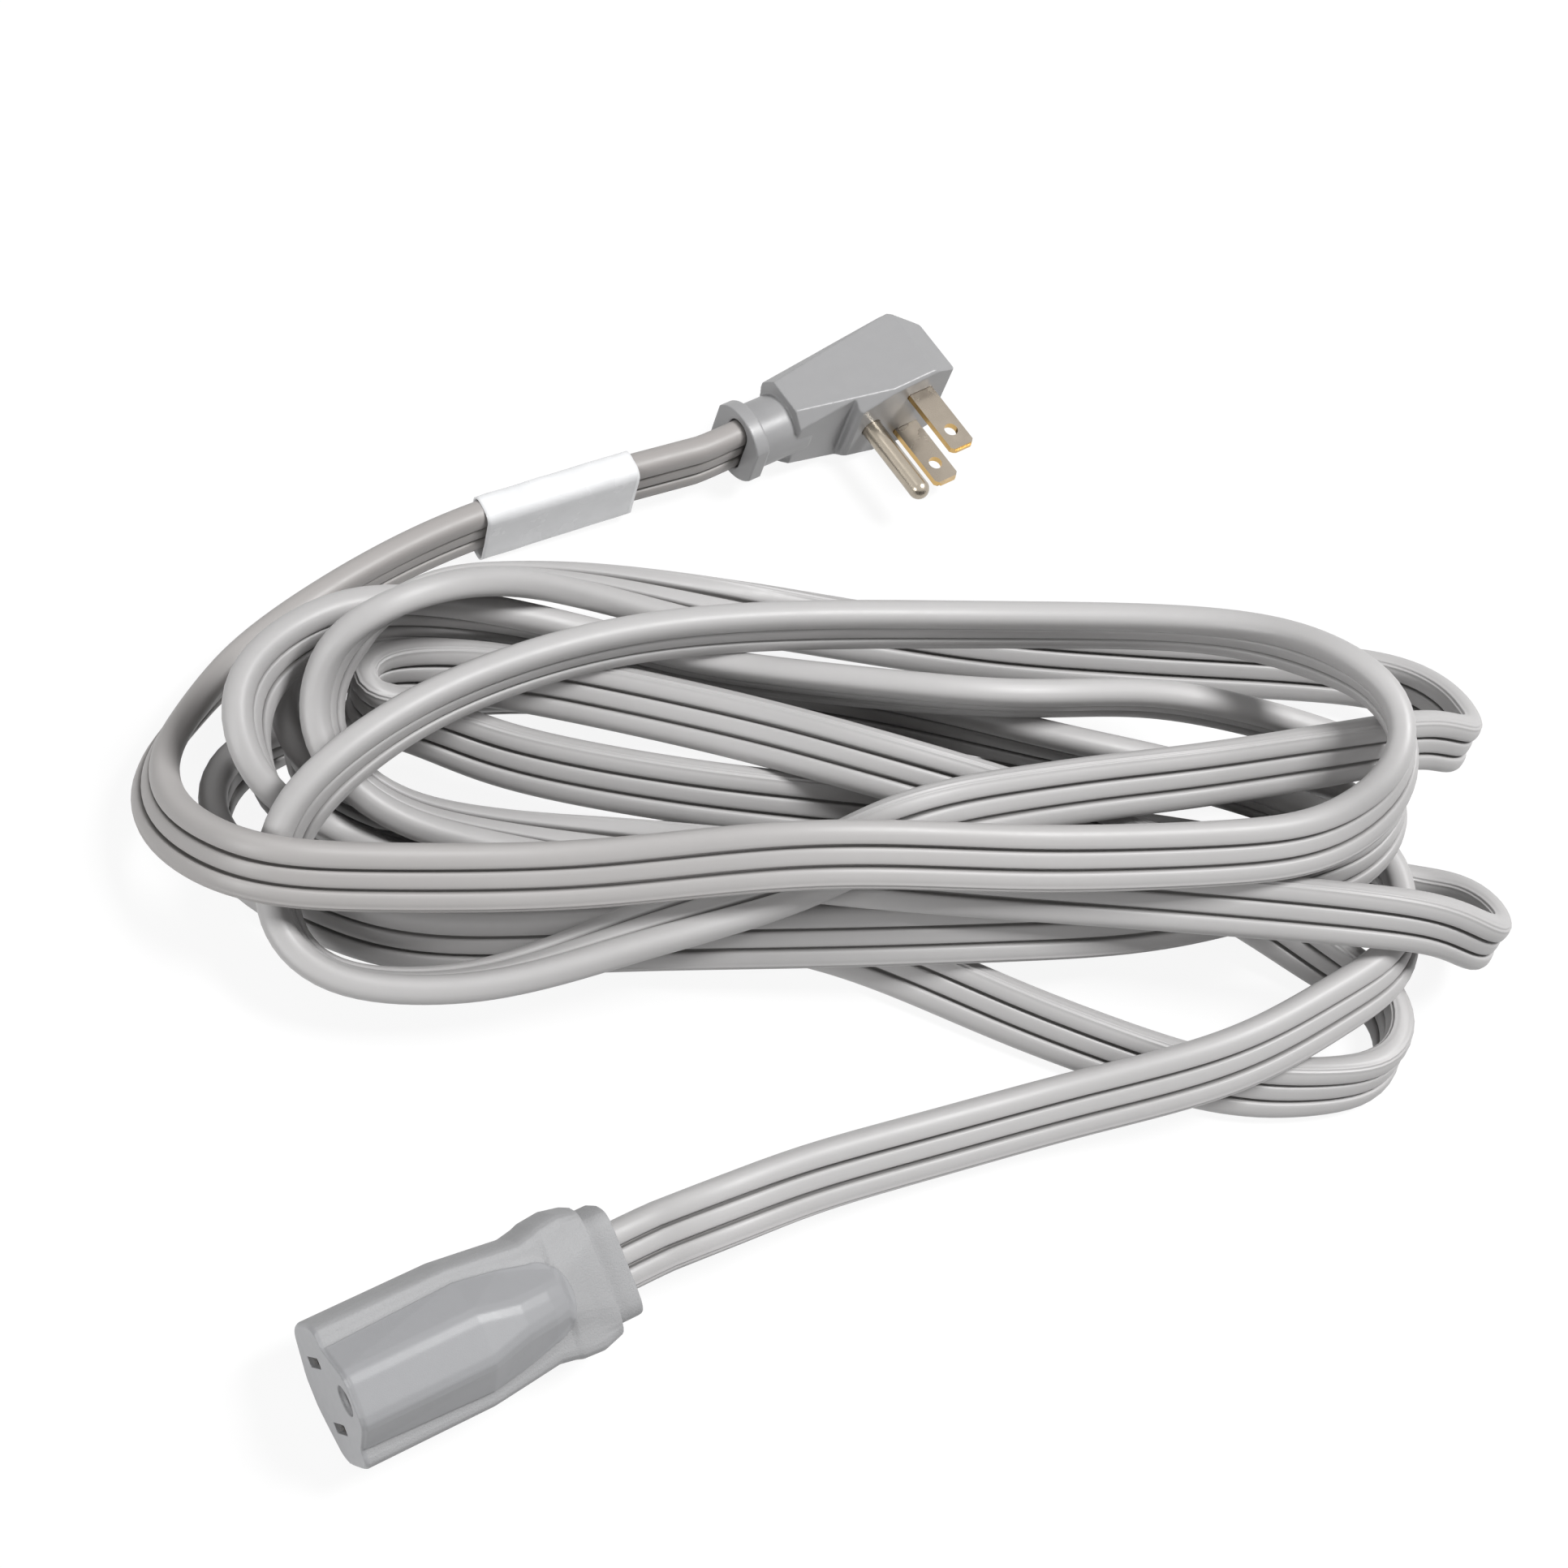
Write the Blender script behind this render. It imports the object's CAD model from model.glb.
import math

import bmesh
import bpy
from mathutils import Matrix, Vector, noise


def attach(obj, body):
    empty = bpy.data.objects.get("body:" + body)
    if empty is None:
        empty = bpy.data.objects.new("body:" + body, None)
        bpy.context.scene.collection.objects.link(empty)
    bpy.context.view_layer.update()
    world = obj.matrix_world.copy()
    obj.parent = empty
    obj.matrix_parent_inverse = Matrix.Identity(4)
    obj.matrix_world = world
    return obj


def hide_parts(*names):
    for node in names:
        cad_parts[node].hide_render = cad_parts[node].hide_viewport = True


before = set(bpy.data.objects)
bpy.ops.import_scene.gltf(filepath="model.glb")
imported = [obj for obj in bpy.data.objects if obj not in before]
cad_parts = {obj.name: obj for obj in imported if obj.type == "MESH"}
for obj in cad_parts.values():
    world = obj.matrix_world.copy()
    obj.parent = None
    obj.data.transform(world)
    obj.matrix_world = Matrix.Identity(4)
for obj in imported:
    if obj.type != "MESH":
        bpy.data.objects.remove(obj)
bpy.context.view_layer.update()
scene = bpy.context.scene


# ---------------------------------------------------------------------------
# Camera: a 65 mm lens half a metre over the floor, tipped down by 57 degrees
# and rolled, so that the hank lies across the picture.
MIDDLE = Vector((0.0856, 0.2846))  # floor point under the row's origin, on the floor plan
camera_height = 0.504
azimuth, tilt, roll = math.radians(20), math.radians(57), math.radians(-25)


def on_plan(x, y, z):
    """A point of the floor plan in the row's frame."""
    return Vector((x - MIDDLE.x, y - MIDDLE.y, z))


ahead = Vector((math.sin(azimuth) * math.cos(tilt), math.cos(azimuth) * math.cos(tilt), -math.sin(tilt)))
level = Vector((math.cos(azimuth), -math.sin(azimuth), 0))
down = ahead.cross(level)
right = level * math.cos(roll) + down * math.sin(roll)
down = down * math.cos(roll) - level * math.sin(roll)
facing = Matrix((right, -down, -ahead)).transposed().to_4x4()
camera = bpy.data.objects.new("camera", bpy.data.cameras.new("camera"))
scene.collection.objects.link(camera)
camera.data.lens = 65
camera.data.sensor_width = 36
camera.data.clip_start = 0.01
camera.matrix_world = Matrix.Translation(on_plan(0, 0, camera_height)) @ facing
scene.camera = camera
scene.render.resolution_x = scene.render.resolution_y = 1932


# ---------------------------------------------------------------------------
# Cord: one flat three-core lead in grey PVC, 13.5 x 5.7 mm, with a groove on
# each side of its middle core and two fine ridges on one edge. It is moulded
# into the plug and the connector, and lies between them in a loose hank.
cord_width, cord_thickness = 0.0135, 0.0057
cord_girth = 0.034
MILLIMETRE = 0.001

# The solid cord's own points on the floor plan: place in metres and roll in
# degrees. Roll 0 stands the cord on edge. A bend is entered, turned and left.
PLUG_LEAD = [
    (0.074, 0.373, 0.0116, 0), (0.057, 0.364, 0.0106, 0), (0.04, 0.354, 0.0102, 0),
    (0.027, 0.345, 0.009, 0), (0.015, 0.335, 0.0076, 0), (0.003, 0.323, 0.007, 2),
]
BENDS = [
    [(-0.013, 0.297, 0.0085, 12), (-0.017, 0.278, 0.013, 24), (-0.005, 0.261, 0.023, 34)],
    [(0.2185, 0.288, 0.0445, 40), (0.2285, 0.3005, 0.057, 30), (0.2195, 0.318, 0.0575, 18)],
    [(0.012, 0.27, 0.0325, -16), (0.01, 0.253, 0.0125, -31), (0.027, 0.243, 0.011, -36)],
    [(0.2405, 0.3155, 0.0415, -158), (0.258, 0.338, 0.019, -182), (0.248, 0.35, 0.011, -205)],
    [(0.0185, 0.3035, 0.0455, -345), (0.012, 0.295, 0.031, -385), (0.019, 0.282, 0.0225, -406)],
    [(0.2475, 0.277, 0.0305, -518), (0.264, 0.288, 0.015, -540), (0.249, 0.298, 0.0065, -562)],
    [(0.03, 0.3, 0.018, -566), (0.018, 0.3045, 0.021, -540), (0.0275, 0.3095, 0.02, -515)],
    [(0.232, 0.277, 0.0068, -518), (0.245, 0.266, 0.0068, -540), (0.231, 0.25, 0.0065, -565)],
    [(0.0185, 0.2755, 0.011, -700), (-0.002, 0.286, 0.0315, -685), (0.0045, 0.3005, 0.036, -698)],
    [(0.234, 0.323, 0.0225, -740), (0.2355, 0.3, 0.035, -746), (0.225, 0.2875, 0.0315, -752)],
    [(0.008, 0.264, 0.0066, -742), (-0.006, 0.28, 0.007, -706), (0.003, 0.295, 0.0068, -710)],
    [(0.233, 0.323, 0.0065, -746), (0.244, 0.315, 0.0064, -750), (0.232, 0.306, 0.0063, -755)],
    [(0.022, 0.284, 0.0075, -727), (0.006, 0.296, 0.0215, -690), (0.014, 0.3105, 0.016, -704)],
    [(0.2355, 0.3, 0.022, -738), (0.243, 0.285, 0.0205, -748), (0.23, 0.265, 0.0197, -762)],
]
# RUNS has the points that lead to each bend in turn.
RUNS = [
    [
        (-0.007, 0.31, 0.0075, 6),
    ],
    [
        (0.005, 0.255, 0.0295, 38), (0.021, 0.256, 0.029, 42), (0.063, 0.262, 0.03, 48),
        (0.1095, 0.267, 0.0425, 52), (0.16, 0.2755, 0.039, 50), (0.204, 0.283, 0.0415, 44),
    ],
    [
        (0.1975, 0.335, 0.041, 8), (0.145, 0.334, 0.031, 2), (0.0925, 0.3225, 0.033, 0),
        (0.0595, 0.31, 0.034, 0), (0.031, 0.29, 0.0365, -5),
    ],
    [
        (0.051, 0.246, 0.013, -42), (0.0805, 0.257, 0.022, -66), (0.109, 0.2685, 0.0305, -100),
        (0.1295, 0.2785, 0.0405, -125), (0.161, 0.2925, 0.036, -132), (0.195, 0.3035, 0.0345, -136),
        (0.225, 0.3085, 0.0445, -146),
    ],
    [
        (0.228, 0.351, 0.008, -215), (0.19, 0.348, 0.0062, -220), (0.153, 0.345, 0.0062, -222),
        (0.11, 0.344, 0.008, -235), (0.089, 0.34, 0.014, -262), (0.059, 0.332, 0.026, -298),
        (0.035, 0.3165, 0.0435, -318),
    ],
    [
        (0.032, 0.277, 0.0185, -414), (0.057, 0.2755, 0.018, -430), (0.089, 0.2755, 0.02, -465),
        (0.1345, 0.272, 0.0296, -490), (0.187, 0.2765, 0.0275, -494),
        (0.2295, 0.2755, 0.0335, -504),
    ],
    [
        (0.205, 0.2975, 0.0125, -575), (0.149, 0.294, 0.0175, -580), (0.09, 0.292, 0.0175, -580),
        (0.051, 0.296, 0.0145, -578),
    ],
    [
        (0.047, 0.3115, 0.02, -500), (0.09, 0.3065, 0.023, -492), (0.1245, 0.2955, 0.0325, -490),
        (0.1645, 0.2935, 0.025, -494), (0.191, 0.2905, 0.018, -500), (0.215, 0.285, 0.01, -510),
    ],
    [
        (0.205, 0.247, 0.0062, -575), (0.168, 0.255, 0.0058, -580), (0.125, 0.268, 0.0058, -585),
        (0.092, 0.271, 0.0058, -605), (0.043, 0.2705, 0.0125, -655),
    ],
    [
        (0.0165, 0.311, 0.0355, -715), (0.0405, 0.321, 0.026, -728), (0.066, 0.3235, 0.0205, -735),
        (0.094, 0.321, 0.0195, -735), (0.146, 0.3145, 0.0335, -735), (0.191, 0.326, 0.026, -735),
    ],
    [
        (0.191, 0.278, 0.0175, -758), (0.145, 0.268, 0.0177, -762), (0.086, 0.261, 0.012, -762),
        (0.036, 0.256, 0.007, -756),
    ],
    [
        (0.019, 0.304, 0.007, -735), (0.047, 0.314, 0.0065, -746), (0.081, 0.317, 0.0065, -750),
        (0.135, 0.313, 0.0063, -750), (0.18, 0.316, 0.0065, -746), (0.215, 0.322, 0.0065, -745),
    ],
    [
        (0.198, 0.3, 0.0062, -760), (0.17, 0.295, 0.0058, -762), (0.117, 0.288, 0.0058, -762),
        (0.075, 0.282, 0.0062, -758), (0.05, 0.279, 0.0065, -750),
    ],
    [
        (0.038, 0.324, 0.007, -712), (0.074, 0.328, 0.007, -712), (0.109, 0.326, 0.0072, -712),
        (0.133, 0.321, 0.0135, -712), (0.1655, 0.313, 0.021, -718), (0.203, 0.3105, 0.02, -726),
    ],
]
CONNECTOR_LEAD = [
    (0.203, 0.247, 0.0175, -768), (0.167, 0.235, 0.0095, -770), (0.142, 0.225, 0.0085, -772),
    (0.117, 0.2135, 0.0115, -776), (0.101, 0.204, 0.015, -784),
]
plug_frame = (
    Matrix.Translation(on_plan(0.1367, 0.4036, 0.0124))
    @ Matrix.Rotation(math.radians(-143.5), 4, "Z")
)
connector_frame = (
    Matrix.Translation(on_plan(0.0296, 0.1616, 0.0114))
    @ Matrix.Rotation(math.radians(-148), 4, "Z")
    @ Matrix.Rotation(math.radians(0.5), 4, "Y")
    @ Matrix.Rotation(math.radians(-24), 4, "X")
)
plug_length, connector_length, entry_depth = 0.0436, 0.0585, 0.002
plug_entry = plug_length - entry_depth
connector_entry = connector_length - entry_depth
cord_depth, cord_rise = 0.01, 0.0005  # of the cord's middle from each moulding's own axis
upward = Vector((0, 0, 1))


def wrapped(angle):
    return (angle + math.pi) % (2 * math.pi) - math.pi


def bend_points(entered, middle, left):
    """Five points of the round arc through three, with height and roll halved between them."""
    (ax, ay), (bx, by), (cx, cy) = entered[:2], middle[:2], left[:2]
    d = 2 * ((bx - ax) * (cy - ay) - (by - ay) * (cx - ax))
    p, q = (bx - ax) ** 2 + (by - ay) ** 2, (cx - ax) ** 2 + (cy - ay) ** 2
    ox = ax + ((cy - ay) * p - (by - ay) * q) / d
    oy = ay + ((bx - ax) * q - (cx - ax) * p) / d
    radius, at = math.hypot(bx - ox, by - oy), math.atan2(by - oy, bx - ox)

    def between(end):
        angle = at + wrapped(math.atan2(end[1] - oy, end[0] - ox) - at) / 2
        halves = [(u + v) / 2 for u, v in zip(middle[2:], end[2:])]
        return (ox + radius * math.cos(angle), oy + radius * math.sin(angle), *halves)

    return [entered, between(entered), middle, between(left), left]


def straight_end(matrix, points, turned):
    """Two points on a moulding's own axis, as route points."""
    spots = [matrix @ Vector(p) for p in points]
    return [(p.x + MIDDLE.x, p.y + MIDDLE.y, p.z, turned) for p in spots]


def curved(a, b, c, d, t):
    """The smooth curve through four values, at the share t of the way from b to c."""
    return b + 0.5 * ((c - a) * t + (2 * a - 5 * b + 4 * c - d) * t**2 + (3 * b - a - 3 * c + d) * t**3)


def smooth_row(points, steps):
    """Points along the smooth curve through a row of them, in equal steps."""
    out = []
    final = len(points) - 1
    for i in range(final):
        four = [points[max(0, min(final, i + k))] for k in (-1, 0, 1, 2)]
        out += [tuple(curved(*values, k / steps) for values in zip(*four)) for k in range(steps)]
    return out + [tuple(points[-1])]


def evenly(points, step):
    """The same line in equal steps of its length."""
    out, left = [points[0]], step
    for a, b in zip(points, points[1:]):
        gap = math.dist(a[:3], b[:3])
        done = 0.0
        while gap - done >= left:
            done += left
            out.append(tuple(u + (v - u) * done / gap for u, v in zip(a, b)))
            left = step
        left -= gap - done
    if math.dist(out[-1][:3], points[-1][:3]) < step / 3:
        out.pop()
    return out + [points[-1]]


def relaxed(points, passes, held):
    """The line as a stiff cord takes it: each point drawn to its neighbours' middle, ends held."""
    for _ in range(passes):
        points = [
            p if i < held or i >= len(points) - held
            else tuple(0.5 * v + 0.25 * (u + w) for u, v, w in zip(points[i - 1], p, points[i + 1]))
            for i, p in enumerate(points)
        ]
    return points


# The connector's own roll about the cord sets the roll at which the cord ends.
run_out = (connector_frame.to_3x3() @ Vector((1, 0, 0))).normalized()
across_out = connector_frame.to_3x3() @ Vector((0, -1, 0))
upright_out = (upward - run_out.z * run_out).normalized()
connector_turn = math.degrees(
    math.atan2(across_out.dot(upright_out.cross(run_out)), across_out.dot(upright_out))
)
whole_turns = -720
route = straight_end(
    plug_frame,
    [(plug_entry, -cord_depth, 0), (plug_entry + cord_width, -cord_depth, 0)],
    0,
)
route += PLUG_LEAD
for leading, bend in zip(RUNS, BENDS):
    route += leading + bend_points(*bend)
route += CONNECTOR_LEAD
route += straight_end(
    connector_frame,
    [(-connector_entry - cord_width, 0, cord_rise), (-connector_entry, 0, cord_rise)],
    whole_turns + connector_turn,
)
ring_spacing = 0.0025
curve = relaxed(evenly(smooth_row(route, steps=16), ring_spacing), passes=15, held=6)
line = [on_plan(*p[:3]) for p in curve]
last = len(line) - 1
headings = [(line[min(i + 1, last)] - line[max(i - 1, 0)]).normalized() for i in range(len(line))]
travel = [0.0]
for a, b in zip(line, line[1:]):
    travel.append(travel[-1] + (b - a).length)
sides = []
for heading, p in zip(headings, curve):
    upright = (upward - heading.z * heading).normalized()
    turned = math.radians(p[3])
    across = math.cos(turned) * upright + math.sin(turned) * upright.cross(heading)
    sides.append((across, heading.cross(across)))

# Half of the cord's outline in millimetres, from its smooth edge to its ridged one.
half_outline = [
    (6.75, 0.0), (6.72, 0.7), (6.55, 1.35), (6.2, 1.95), (5.7, 2.4), (5.0, 2.7), (4.2, 2.83),
    (3.3, 2.82), (2.72, 2.72), (2.5, 2.58), (2.38, 2.3), (2.3, 1.8), (2.2, 1.2), (2.0, 0.95),
    (1.8, 1.2), (1.7, 1.8), (1.62, 2.15), (1.5, 2.38), (1.25, 2.5), (0.7, 2.58), (0.0, 2.6),
    (-0.7, 2.58), (-1.25, 2.5), (-1.5, 2.38), (-1.62, 2.15), (-1.7, 1.8), (-1.8, 1.2), (-2.0, 0.95),
    (-2.2, 1.2), (-2.3, 1.8), (-2.38, 2.3), (-2.5, 2.58), (-2.72, 2.72), (-3.3, 2.82), (-4.2, 2.83),
    (-4.9, 2.7), (-5.3, 2.55), (-5.5, 2.6), (-5.68, 2.5), (-5.72, 2.25), (-5.95, 2.1),
    (-6.15, 2.12), (-6.3, 1.95), (-6.28, 1.7), (-6.55, 1.3), (-6.72, 0.7),
]
outline = half_outline + [(-6.75, 0.0)] + [(x, -y) for x, y in reversed(half_outline[1:])]


def skin(rings, caps=True):
    """Verts and faces of a tube over rings of points, each as long as the first."""
    n = len(rings[0])
    verts = [p for ring in rings for p in ring]
    faces = [
        (i * n + j, i * n + (j + 1) % n, (i + 1) * n + (j + 1) % n, (i + 1) * n + j)
        for i in range(len(rings) - 1)
        for j in range(n)
    ]
    if caps:
        faces += [tuple(reversed(range(n))), tuple((len(rings) - 1) * n + j for j in range(n))]
    return verts, faces


def new_object(name, verts, faces, smooth=True):
    mesh = bpy.data.meshes.new(name)
    mesh.from_pydata(verts, [], faces)
    mesh.update()
    if smooth:
        mesh.shade_smooth()
    obj = bpy.data.objects.new(name, mesh)
    scene.collection.objects.link(obj)
    return obj


rings = [
    [at + x * MILLIMETRE * across + y * MILLIMETRE * outward for x, y in outline]
    for at, (across, outward) in zip(line, sides)
]
for ring in rings:
    for p in ring:
        p.z = max(p.z, 0.0)
verts, faces = skin(rings)
cord = new_object("cord", verts, faces)
groove_inner, groove_outer, groove_brim = 1.5, 2.4, 2.0  # millimetres, as in the outline
in_groove = [
    1.0 if groove_inner < abs(x) < groove_outer and abs(y) < groove_brim else 0.0
    for x, y in outline
]
groove = cord.data.attributes.new("groove", "FLOAT", "POINT")
groove.data.foreach_set("value", in_groove * len(rings))
uv = cord.data.uv_layers.new(name="along")
count = len(outline)
for loop in cord.data.loops:
    i, j = divmod(loop.vertex_index, count)
    uv.data[loop.index].uv = (travel[i], j / count * cord_girth)


class Nodes:
    """A node tree with short ways to add and join nodes."""

    def __init__(self, tree):
        self.tree = tree

    def add(self, kind, inputs=None, **settings):
        node = self.tree.nodes.new(kind)
        for key, value in settings.items():
            setattr(node, key, value)
        self.fill(node, inputs or {})
        return node

    def fill(self, node, inputs):
        for key, value in inputs.items():
            if isinstance(value, bpy.types.NodeSocket):
                self.tree.links.new(value, node.inputs[key])
            else:
                node.inputs[key].default_value = value

    def math(self, operation, a, b=0.0, clamp=False):
        return self.add("ShaderNodeMath", {0: a, 1: b}, operation=operation, use_clamp=clamp).outputs[0]

    def mix(self, share, under, over):
        """The colour under with its share of the colour over."""
        return self.add("ShaderNodeMix", {0: share, 6: under, 7: over}, data_type="RGBA").outputs[2]

    def stretch(self, vector, by):
        return self.add("ShaderNodeVectorMath", {0: vector, 1: by}, operation="MULTIPLY").outputs[0]

    def ramp(self, value, stops):
        node = self.add("ShaderNodeValToRGB", {0: value})
        points = node.color_ramp.elements
        while len(points) < len(stops):
            points.new(0.5)
        for point, (place, colour) in zip(points, stops):
            point.position = place
            point.color = (*colour, 1)
        return node.outputs[0]

    def noise(self, vector, scale, detail=3.0, rough=0.55):
        given = {"Vector": vector, "Scale": scale, "Detail": detail, "Roughness": rough}
        return self.add("ShaderNodeTexNoise", given).outputs[0]

    def bump(self, height, strength, distance):
        given = {"Height": height, "Strength": strength, "Distance": distance}
        return self.add("ShaderNodeBump", given).outputs[0]


def new_material(name):
    material = bpy.data.materials.new(name)
    material.use_nodes = True
    material.node_tree.nodes.clear()
    nodes = Nodes(material.node_tree)
    shader = nodes.add("ShaderNodeBsdfPrincipled")
    nodes.add("ShaderNodeOutputMaterial", {"Surface": shader.outputs[0]})
    return material, nodes, shader


def shade(nodes, shader, **values):
    nodes.fill(shader, {key.replace("_", " "): value for key, value in values.items()})


def make_vinyl_group():
    """Soft PVC's mottle, fine grain and little dust, from a vector in metres."""
    group = bpy.data.node_groups.new("vinyl_surface", "ShaderNodeTree")
    for direction, kind, names in (
        ("INPUT", "Vector", ("Vector",)),
        ("INPUT", "Color", ("Tint",)),
        ("INPUT", "Float", ("Grain", "Roughness")),
        ("OUTPUT", "Color", ("Color",)),
        ("OUTPUT", "Float", ("Roughness", "Height")),
    ):
        for name in names:
            group.interface.new_socket(name, in_out=direction, socket_type="NodeSocket" + kind)
    n = Nodes(group)
    given = n.add("NodeGroupInput").outputs
    broad = n.noise(given["Vector"], 60, 2)
    patch = n.noise(given["Vector"], 420, 3)
    grain = n.noise(given["Vector"], 5200, 2, 0.6)
    value = n.math("ADD", n.math("MULTIPLY", broad, 0.05), n.math("MULTIPLY", patch, 0.04))
    value = n.math("ADD", value, 0.955)
    colour = n.add("ShaderNodeHueSaturation", {"Value": value, "Color": given["Tint"]}).outputs[0]
    rough = n.math("ADD", given["Roughness"], n.math("MULTIPLY", n.math("SUBTRACT", patch, 0.5), 0.16), True)
    height = n.math("ADD", n.math("MULTIPLY", grain, given["Grain"]), n.math("MULTIPLY", patch, 0.15))
    n.add("NodeGroupOutput", {"Color": colour, "Roughness": rough, "Height": height})
    return group


vinyl_group = make_vinyl_group()


def vinyl_surface(nodes, place, tint, grain, roughness):
    """Colour, roughness and height of vinyl, from the shared group."""
    inputs = {"Vector": place, "Tint": (*tint, 1), "Grain": grain, "Roughness": roughness}
    outputs = nodes.add("ShaderNodeGroup", inputs, node_tree=vinyl_group).outputs
    return outputs["Color"], outputs["Roughness"], outputs["Height"]


VINYL_SOFTNESS = dict(Subsurface_Radius=(0.002, 0.002, 0.002), Subsurface_Scale=0.6)
jacket_tint = (0.41, 0.403, 0.402)
handled_tint, handled_length = (0.235, 0.21, 0.195, 1), 0.42  # the lead at the plug, darker from use
groove_tint = (0.12, 0.115, 0.11, 1)
jacket, n, shader = new_material("cord_jacket")
along = n.add("ShaderNodeUVMap", uv_map="along").outputs[0]
place = n.add("ShaderNodeTexCoord").outputs["Object"]
colour, rough, height = vinyl_surface(n, place, jacket_tint, 0.35, 0.47)
drawn = n.noise(n.stretch(along, (0.02, 1, 1)), 1800, 2, 0.6)  # fine lines from the die
height = n.math("ADD", height, n.math("MULTIPLY", drawn, 0.5))
travelled = n.add("ShaderNodeSeparateXYZ", {0: along}).outputs[0]
handled = n.math("MULTIPLY", n.math("SUBTRACT", handled_length, travelled), 2.6, True)
colour = n.mix(n.math("MULTIPLY", handled, 0.55), colour, handled_tint)
shut_in = n.add("ShaderNodeAttribute", attribute_name="groove").outputs["Fac"]
colour = n.mix(n.math("MULTIPLY", shut_in, 0.6), colour, groove_tint)
shade(
    n, shader, Base_Color=colour, Roughness=rough, Normal=n.bump(height, 0.35, 0.00006),
    Subsurface_Weight=0.06, Specular_IOR_Level=0.5, **VINYL_SOFTNESS,
)
cord.data.materials.append(jacket)
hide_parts("cord_plug_lead", "cord_loops", "cord_connector_lead")
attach(cord, "root")


# ---------------------------------------------------------------------------
# Plug body: grey PVC shot over the blades' bridge and the end of the cord. Its
# skin is the solid's own shape, remeshed fine and eased, so that every corner
# has its moulded round.
moulding_voxel = 0.00024


def moulding(node, frame_matrix, easing):
    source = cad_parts[node]
    mesh = source.data.copy()
    mesh.transform(frame_matrix.inverted() @ source.matrix_world)
    obj = bpy.data.objects.new(node + "_skin", mesh)
    scene.collection.objects.link(obj)
    mesh.materials.clear()
    remesh = obj.modifiers.new("even", "REMESH")
    remesh.mode = "VOXEL"
    remesh.voxel_size = moulding_voxel
    ease = obj.modifiers.new("ease", "SMOOTH")
    ease.factor = 0.5
    ease.iterations = easing
    graph = bpy.context.evaluated_depsgraph_get()
    made = bpy.data.meshes.new_from_object(obj.evaluated_get(graph))
    obj.modifiers.clear()
    obj.data = made
    made.shade_smooth()
    obj.matrix_world = frame_matrix
    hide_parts(node)
    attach(obj, "root")
    return obj


def vinyl_material(name, tint, grain, roughness, strength, textured=None, worn_tint=None):
    """Moulded vinyl; textured names the mesh attribute that says where the grain is coarse."""
    material, n, shader = new_material(name)
    place = n.add("ShaderNodeTexCoord").outputs["Object"]
    colour, rough, height = vinyl_surface(n, place, tint, grain, roughness)
    if textured:
        where = n.add("ShaderNodeAttribute", attribute_name=textured).outputs["Fac"]
        spark = n.math("MULTIPLY", n.noise(place, 2600, 2, 0.7), where)
        height = n.math("ADD", height, n.math("MULTIPLY", spark, 2.2))
        rough = n.math("ADD", rough, n.math("MULTIPLY", where, 0.16), True)
        colour = n.mix(n.math("MULTIPLY", where, 0.3), colour, worn_tint)
    shade(
        n, shader, Base_Color=colour, Roughness=rough, Normal=n.bump(height, strength, 0.00008),
        Subsurface_Weight=0.05, **VINYL_SOFTNESS,
    )
    return material


plug = moulding("plug_overmould", plug_frame, easing=3)
plug.data.materials.append(vinyl_material("plug_vinyl", (0.285, 0.284, 0.288), 0.3, 0.36, 0.3))


# ---------------------------------------------------------------------------
# Connector body: grey PVC shot over the contact carrier and the cord's other
# end. A smooth panel with a round end stands 0.4 mm proud of its grained wings
# and shoulder; the face is smooth too.
panel_proud = 0.0004
panel_level, panel_end = 0.0075, -0.05  # the panel lies over this height and in front of this place
panel_edge, face_edge = 0.0003, 0.0004  # over which the panel rises, and the grain stops at the face
face_lip = 0.0009
panel_round, panel_round_start, panel_round_length = 0.0076, 0.040, 0.0058
panel_stations = [(0, 0.0095), (0.026, 0.0104), (0.034, 0.0091), (panel_round_start, panel_round)]


def panel_half_width(back):
    """Half width of the raised panel, which ends in a round, by the distance from the face."""
    if back >= panel_round_start:
        return panel_round * math.sqrt(max(0.0, 1 - ((back - panel_round_start) / panel_round_length) ** 2))
    for (a, wide), (b, narrow) in zip(panel_stations, panel_stations[1:]):
        if back <= b:
            return wide + (narrow - wide) * max(0.0, back - a) / (b - a)


def limited(share):
    return max(0.0, min(1.0, share))


connector = moulding("connector_overmould", connector_frame, easing=2)
grained = connector.data.attributes.new("grained", "FLOAT", "POINT")
normals = [v.normal.copy() for v in connector.data.vertices]
for vertex, normal in zip(connector.data.vertices, normals):
    x, y, z = vertex.co
    inside = panel_half_width(-x) - abs(y) if z > panel_level else -1.0
    proud = limited(inside / panel_edge)
    off_front = 1 - limited((x + face_lip) / face_edge)
    grained.data[vertex.index].value = (1 - proud) * off_front
    if z > panel_level and x > panel_end:
        vertex.co += normal * panel_proud * proud * proud * (3 - 2 * proud) * off_front
connector.data.materials.append(
    vinyl_material(
        "connector_vinyl", (0.29, 0.292, 0.302), 0.45, 0.44, 0.6,
        textured="grained", worn_tint=(0.37, 0.367, 0.364, 1),
    )
)


# ---------------------------------------------------------------------------
# Plug blades and ground pin: stamped and folded brass, nickel plated before it
# was cut, so the flats are champagne nickel and the cut edges show brass. The
# bridge holds them, and the body is shot round it.
NICKEL, BRIGHT_NICKEL, BRASS = (0.40, 0.35, 0.29), (0.44, 0.39, 0.32), (0.60, 0.40, 0.16)
smudge_darkening = 0.72


def empty_at(name, matrix):
    obj = bpy.data.objects.new(name, None)
    scene.collection.objects.link(obj)
    obj.matrix_world = matrix
    return obj


plug_axes = empty_at("plug_axes", plug_frame)
connector_axes = empty_at("connector_axes", connector_frame)


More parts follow.
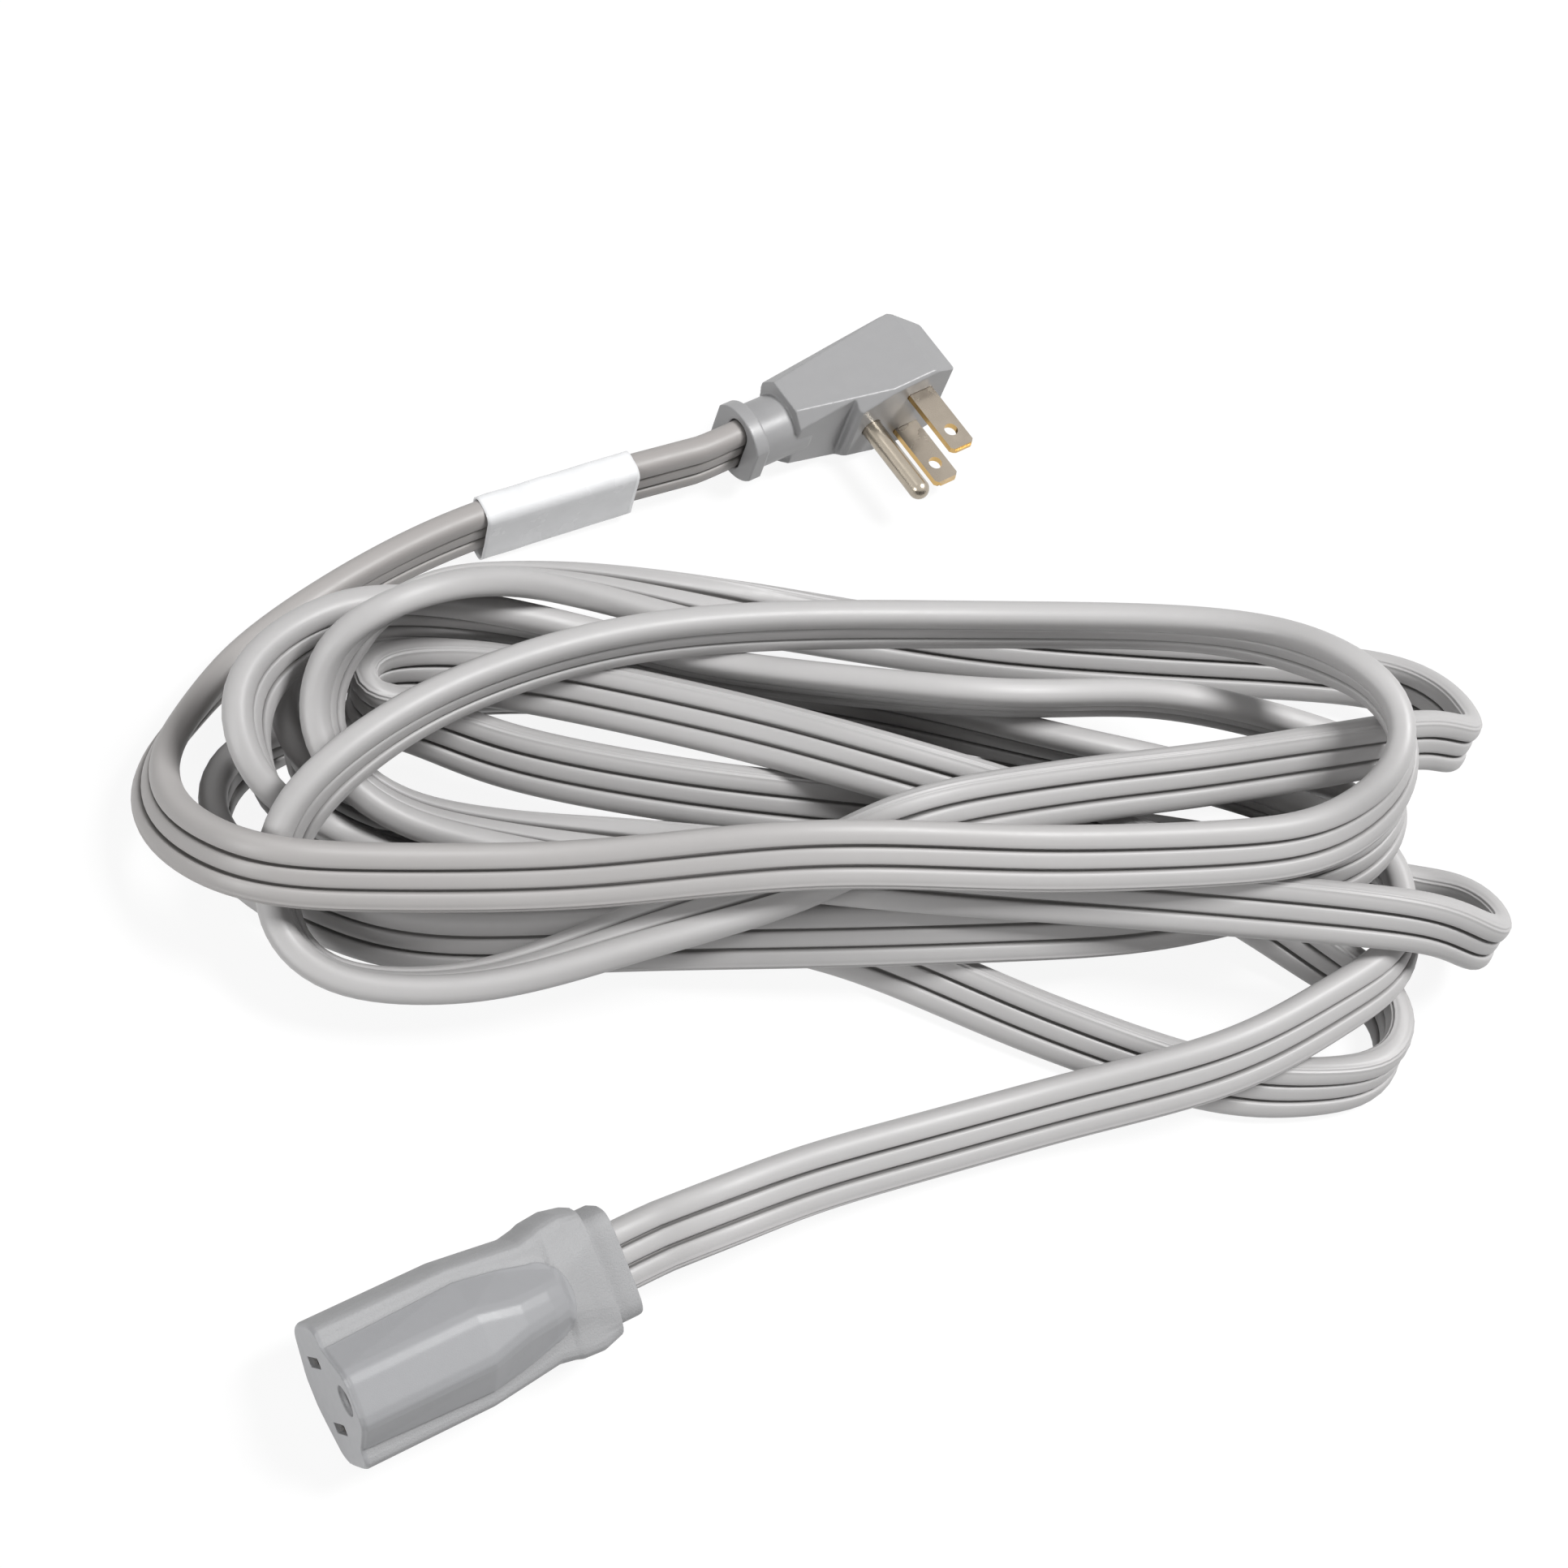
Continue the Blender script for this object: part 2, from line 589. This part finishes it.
def metal(name, tint, roughness, axes, flat=None):
    """Polished metal. Faces along flat keep the tint, and the others show cut brass."""
    material, n, shader = new_material(name)
    place = n.add("ShaderNodeTexCoord", object=axes).outputs["Object"]
    smudge = n.noise(place, 230, 4, 0.6)
    scratch = n.noise(n.stretch(place, (1, 0.06, 1)), 5200, 2, 0.7)
    smudged = n.math("MULTIPLY", n.math("SUBTRACT", smudge, 0.42), 1.6, True)
    colour = n.mix(smudged, (*tint, 1), (*[c * smudge_darkening for c in tint], 1))
    if flat is not None:
        normal = n.add("ShaderNodeNewGeometry").outputs["True Normal"]
        dot = n.add("ShaderNodeVectorMath", {0: normal, 1: tuple(flat)}, operation="DOT_PRODUCT").outputs[1]
        along_flat = n.math("SUBTRACT", n.math("ABSOLUTE", dot), 0.75)
        cut = n.math("SUBTRACT", 1.0, n.math("MULTIPLY", along_flat, 8, True))
        colour = n.mix(cut, colour, (*BRASS, 1))
    rough = n.math("ADD", roughness, n.math("MULTIPLY", n.math("SUBTRACT", smudge, 0.45), 0.5), True)
    shade(n, shader, Base_Color=colour, Metallic=1.0, Roughness=rough, Normal=n.bump(scratch, 0.1, 0.000012))
    return material


def dress(node, material, bevel=0.0):
    """Puts a material on one of the solid's own pieces, and rounds its edges where a bevel is given."""
    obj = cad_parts[node]
    for slot in obj.material_slots:
        slot.material = material
    if not obj.material_slots:
        obj.data.materials.append(material)
    if bevel:
        edge = obj.modifiers.new("edge", "BEVEL")
        edge.width = bevel
        edge.segments = 2
        edge.limit_method = "ANGLE"
        edge.angle_limit = math.radians(35)


blade_flat = plug_frame.to_3x3() @ Vector((0, 0, 1))
blade = metal("plated_blade", NICKEL, 0.24, plug_axes, flat=blade_flat)
dress("line_blade", blade)
dress("neutral_blade", blade)
dress("ground_pin", metal("plated_pin", BRIGHT_NICKEL, 0.22, plug_axes))


# ---------------------------------------------------------------------------
# Inner pieces: moulded nylon blocks that hold the blades and contacts, brass
# contacts, and each core's bunched copper in its black, white or green
# insulation. They show only through the face's openings.
CORE_TINTS = {"line": (0.03, 0.03, 0.032), "neutral": (0.75, 0.74, 0.7), "ground": (0.05, 0.28, 0.09)}
COPPER_DARK, COPPER_LIGHT = (0.45, 0.18, 0.08), (0.85, 0.42, 0.24)
block_bevel = 0.0002


def inner_plastic(name, tint, roughness, axes):
    material, n, shader = new_material(name)
    place = n.add("ShaderNodeTexCoord", object=axes).outputs["Object"]
    value = n.math("ADD", 0.9, n.math("MULTIPLY", n.noise(place, 300, 3), 0.2))
    colour = n.add("ShaderNodeHueSaturation", {"Value": value, "Color": (*tint, 1)}).outputs[0]
    grain = n.bump(n.noise(place, 3000), 0.2, 0.00005)
    shade(n, shader, Base_Color=colour, Roughness=roughness, Normal=grain)
    return material


def stranded(name, axes):
    """Bunched copper strands, seen as fine twisted lines."""
    material, n, shader = new_material(name)
    place = n.add("ShaderNodeTexCoord", object=axes).outputs["Object"]
    given = {"Vector": place, "Scale": 900, "Distortion": 2}
    lines = n.add("ShaderNodeTexWave", given, bands_direction="DIAGONAL").outputs[1]
    colour = n.ramp(lines, [(0.0, COPPER_DARK), (1.0, COPPER_LIGHT)])
    shade(n, shader, Base_Color=colour, Metallic=1.0, Roughness=0.3, Normal=n.bump(lines, 0.6, 0.0002))
    return material


for end, axes in (("plug", plug_axes), ("connector", connector_axes)):
    copper = stranded(end + "_strands", axes)
    for core, tint in CORE_TINTS.items():
        dress(f"{end}_{core}_conductor", copper)
        dress(f"{end}_{core}_insulation", inner_plastic(f"{end}_{core}_colour", tint, 0.45, axes))
dress("plug_blade_bridge", inner_plastic("bridge_plastic", (0.55, 0.53, 0.48), 0.5, plug_axes), block_bevel)
carrier = inner_plastic("carrier_plastic", (0.5, 0.49, 0.46), 0.5, connector_axes)
dress("connector_contact_carrier", carrier, block_bevel)
contact = metal("contact_brass", BRASS, 0.3, connector_axes)
for core in CORE_TINTS:
    dress(f"connector_{core}_contact", contact)


# ---------------------------------------------------------------------------
# Rating sleeve: thin glossy white film, heat-closed round the cord and blank,
# slightly puckered, its ends open. It hangs on the cord, which bears on its back.
sleeve_length, sleeve_height, sleeve_depth = 0.036, 0.017, 0.0076
sleeve_wall, sleeve_corner = 0.0004, 0.0026
sleeve_drop, sleeve_back = 0.00005, 0.0001  # play left between the cord and the film
sleeve_rows, corner_steps = 44, 6
most_pucker = 0.00012
before, at, after = (on_plan(*p[:3]) for p in PLUG_LEAD[:3])
sleeve_run = (after - before).normalized()
sleeve_frame = (
    Matrix.Translation(at)
    @ Matrix.Rotation(math.atan2(sleeve_run.y, sleeve_run.x), 4, "Z")
    @ Matrix.Rotation(math.acos(sleeve_run.z), 4, "Y")
    @ Matrix.Translation((
        (sleeve_height - cord_width) / 2 - sleeve_wall - sleeve_drop,
        (sleeve_depth - cord_thickness) / 2 - sleeve_wall - sleeve_back,
        0,
    ))
)


def puckered(p):
    """A point of the film, drawn in or out a little, and more so at the open ends."""
    end = abs(p.z) / (sleeve_length / 2)
    pucker = noise.noise(p * 170) * 0.00016 + noise.noise(p * 420) * 0.00005
    pucker *= 0.5 + 0.9 * end**3
    return p + Vector((p.x, p.y, 0)).normalized() * min(pucker, most_pucker)


def sleeve_ring(inset, along):
    """One ring of the sleeve's wall: four round corners, joined by straights."""
    across, out = sleeve_height / 2 - sleeve_corner, sleeve_depth / 2 - sleeve_corner
    radius = sleeve_corner - inset
    arcs = []
    for sx, sy, start in ((1, 1, 0), (-1, 1, 90), (-1, -1, 180), (1, -1, 270)):
        centre = Vector((sx * across, sy * out, along))
        angles = [math.radians(start + 90 / corner_steps * k) for k in range(corner_steps + 1)]
        arcs.append([centre + radius * Vector((math.cos(a), math.sin(a), 0)) for a in angles])
    ring = []
    for arc, following, steps in zip(arcs, arcs[1:] + arcs[:1], (9, 3, 9, 3)):
        ring += arc + [arc[-1].lerp(following[0], k / steps) for k in range(1, steps)]
    return [puckered(p) for p in ring]


rows = [sleeve_length * (k / sleeve_rows - 0.5) for k in range(sleeve_rows + 1)]
sleeve_rings = [sleeve_ring(0, z) for z in rows] + [sleeve_ring(sleeve_wall, z) for z in reversed(rows)]
sleeve_rings.append(sleeve_rings[0])
verts, faces = skin(sleeve_rings, caps=False)
sleeve = new_object("rating_sleeve", [sleeve_frame @ v for v in verts], faces)
joined = bmesh.new()
joined.from_mesh(sleeve.data)
bmesh.ops.remove_doubles(joined, verts=joined.verts, dist=1e-7)
bmesh.ops.recalc_face_normals(joined, faces=joined.faces)
joined.to_mesh(sleeve.data)
joined.free()
film, n, shader = new_material("sleeve_film")
place = n.add("ShaderNodeTexCoord").outputs["Object"]
haze = n.noise(place, 160, 2)
colour = n.ramp(haze, [(0.3, (0.70, 0.705, 0.715)), (0.7, (0.76, 0.765, 0.775))])
rough = n.math("ADD", 0.18, n.math("MULTIPLY", haze, 0.16))
shade(n, shader, Base_Color=colour, Roughness=rough, Normal=n.bump(n.noise(place, 700, 2), 0.15, 0.0001))
sleeve.data.materials.append(film)
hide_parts("rating_label")
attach(sleeve, "root")


# ---------------------------------------------------------------------------
# Floor: a pale sweep that stays white to the camera and keeps a soft shadow
# near the cord. Farther off it is white altogether.
floor_reach, floor_level = 4, -0.0003
floor_white, shadow_share, shadow_radius = 1.1, 0.18, 0.5
corners = [(-1, -1), (1, -1), (1, 1), (-1, 1)]
floor_corners = [(x * floor_reach, y * floor_reach, floor_level) for x, y in corners]
floor = new_object("floor", floor_corners, [(0, 1, 2, 3)], smooth=False)
sweep = bpy.data.materials.new("sweep")
sweep.use_nodes = True
sweep.node_tree.nodes.clear()
n = Nodes(sweep.node_tree)
light_path = n.add("ShaderNodeLightPath").outputs
seen = n.math("MAXIMUM", light_path["Is Camera Ray"], light_path["Is Glossy Ray"])
seen = n.math("MAXIMUM", seen, light_path["Is Transmission Ray"])
place = n.add("ShaderNodeTexCoord").outputs["Object"]
from_hank = n.add("ShaderNodeVectorMath", {0: place}, operation="LENGTH").outputs["Value"]
far_off = n.math("SUBTRACT", from_hank, shadow_radius, True)
whiteness = n.math("ADD", n.math("MULTIPLY", far_off, shadow_share), 1 - shadow_share)
matt = n.add("ShaderNodeBsdfDiffuse", {"Color": (0.5, 0.5, 0.5, 1)}).outputs[0]
white = n.add("ShaderNodeEmission", {"Color": (1, 1, 1, 1), "Strength": floor_white}).outputs[0]
mixed = n.add("ShaderNodeMixShader", {0: n.math("MULTIPLY", seen, whiteness), 1: matt, 2: white}).outputs[0]
n.add("ShaderNodeOutputMaterial", {"Surface": mixed})
floor.data.materials.append(sweep)


# ---------------------------------------------------------------------------
# Light: one wide lamp over the hank from the camera's right, a weaker one
# opposite it, a low one at the connector's face, and an even white surround.
surround_strength = 0.17


def lamp(name, place, size, watts):
    """A square lamp that faces the middle of the hank."""
    data = bpy.data.lights.new(name, "AREA")
    data.shape = "SQUARE"
    data.size = size
    data.energy = watts
    obj = bpy.data.objects.new(name, data)
    scene.collection.objects.link(obj)
    obj.location = place
    obj.rotation_euler = (-Vector(place)).to_track_quat("-Z", "Y").to_euler()


lamp("key", (0.6, 0.1, 1.25), 0.4, 22)
lamp("fill", (-0.7, 0.6, 1.0), 0.8, 2)
lamp("side", (-0.9, -0.65, 0.4), 0.5, 7)
world = bpy.data.worlds.new("surround")
scene.world = world
world.use_nodes = True
world.node_tree.nodes.clear()
n = Nodes(world.node_tree)
light_path = n.add("ShaderNodeLightPath").outputs
seen = n.math("MAXIMUM", light_path["Is Camera Ray"], light_path["Is Glossy Ray"])
surround = n.add("ShaderNodeBackground", {"Color": (1, 1, 1, 1), "Strength": surround_strength}).outputs[0]
bright = n.add("ShaderNodeBackground", {"Color": (1, 1, 1, 1), "Strength": 1.0}).outputs[0]
mixed = n.add("ShaderNodeMixShader", {0: seen, 1: surround, 2: bright}).outputs[0]
n.add("ShaderNodeOutputWorld", {"Surface": mixed})
scene.view_settings.view_transform = "Standard"
scene.render.engine = "CYCLES"
scene.cycles.samples = 256
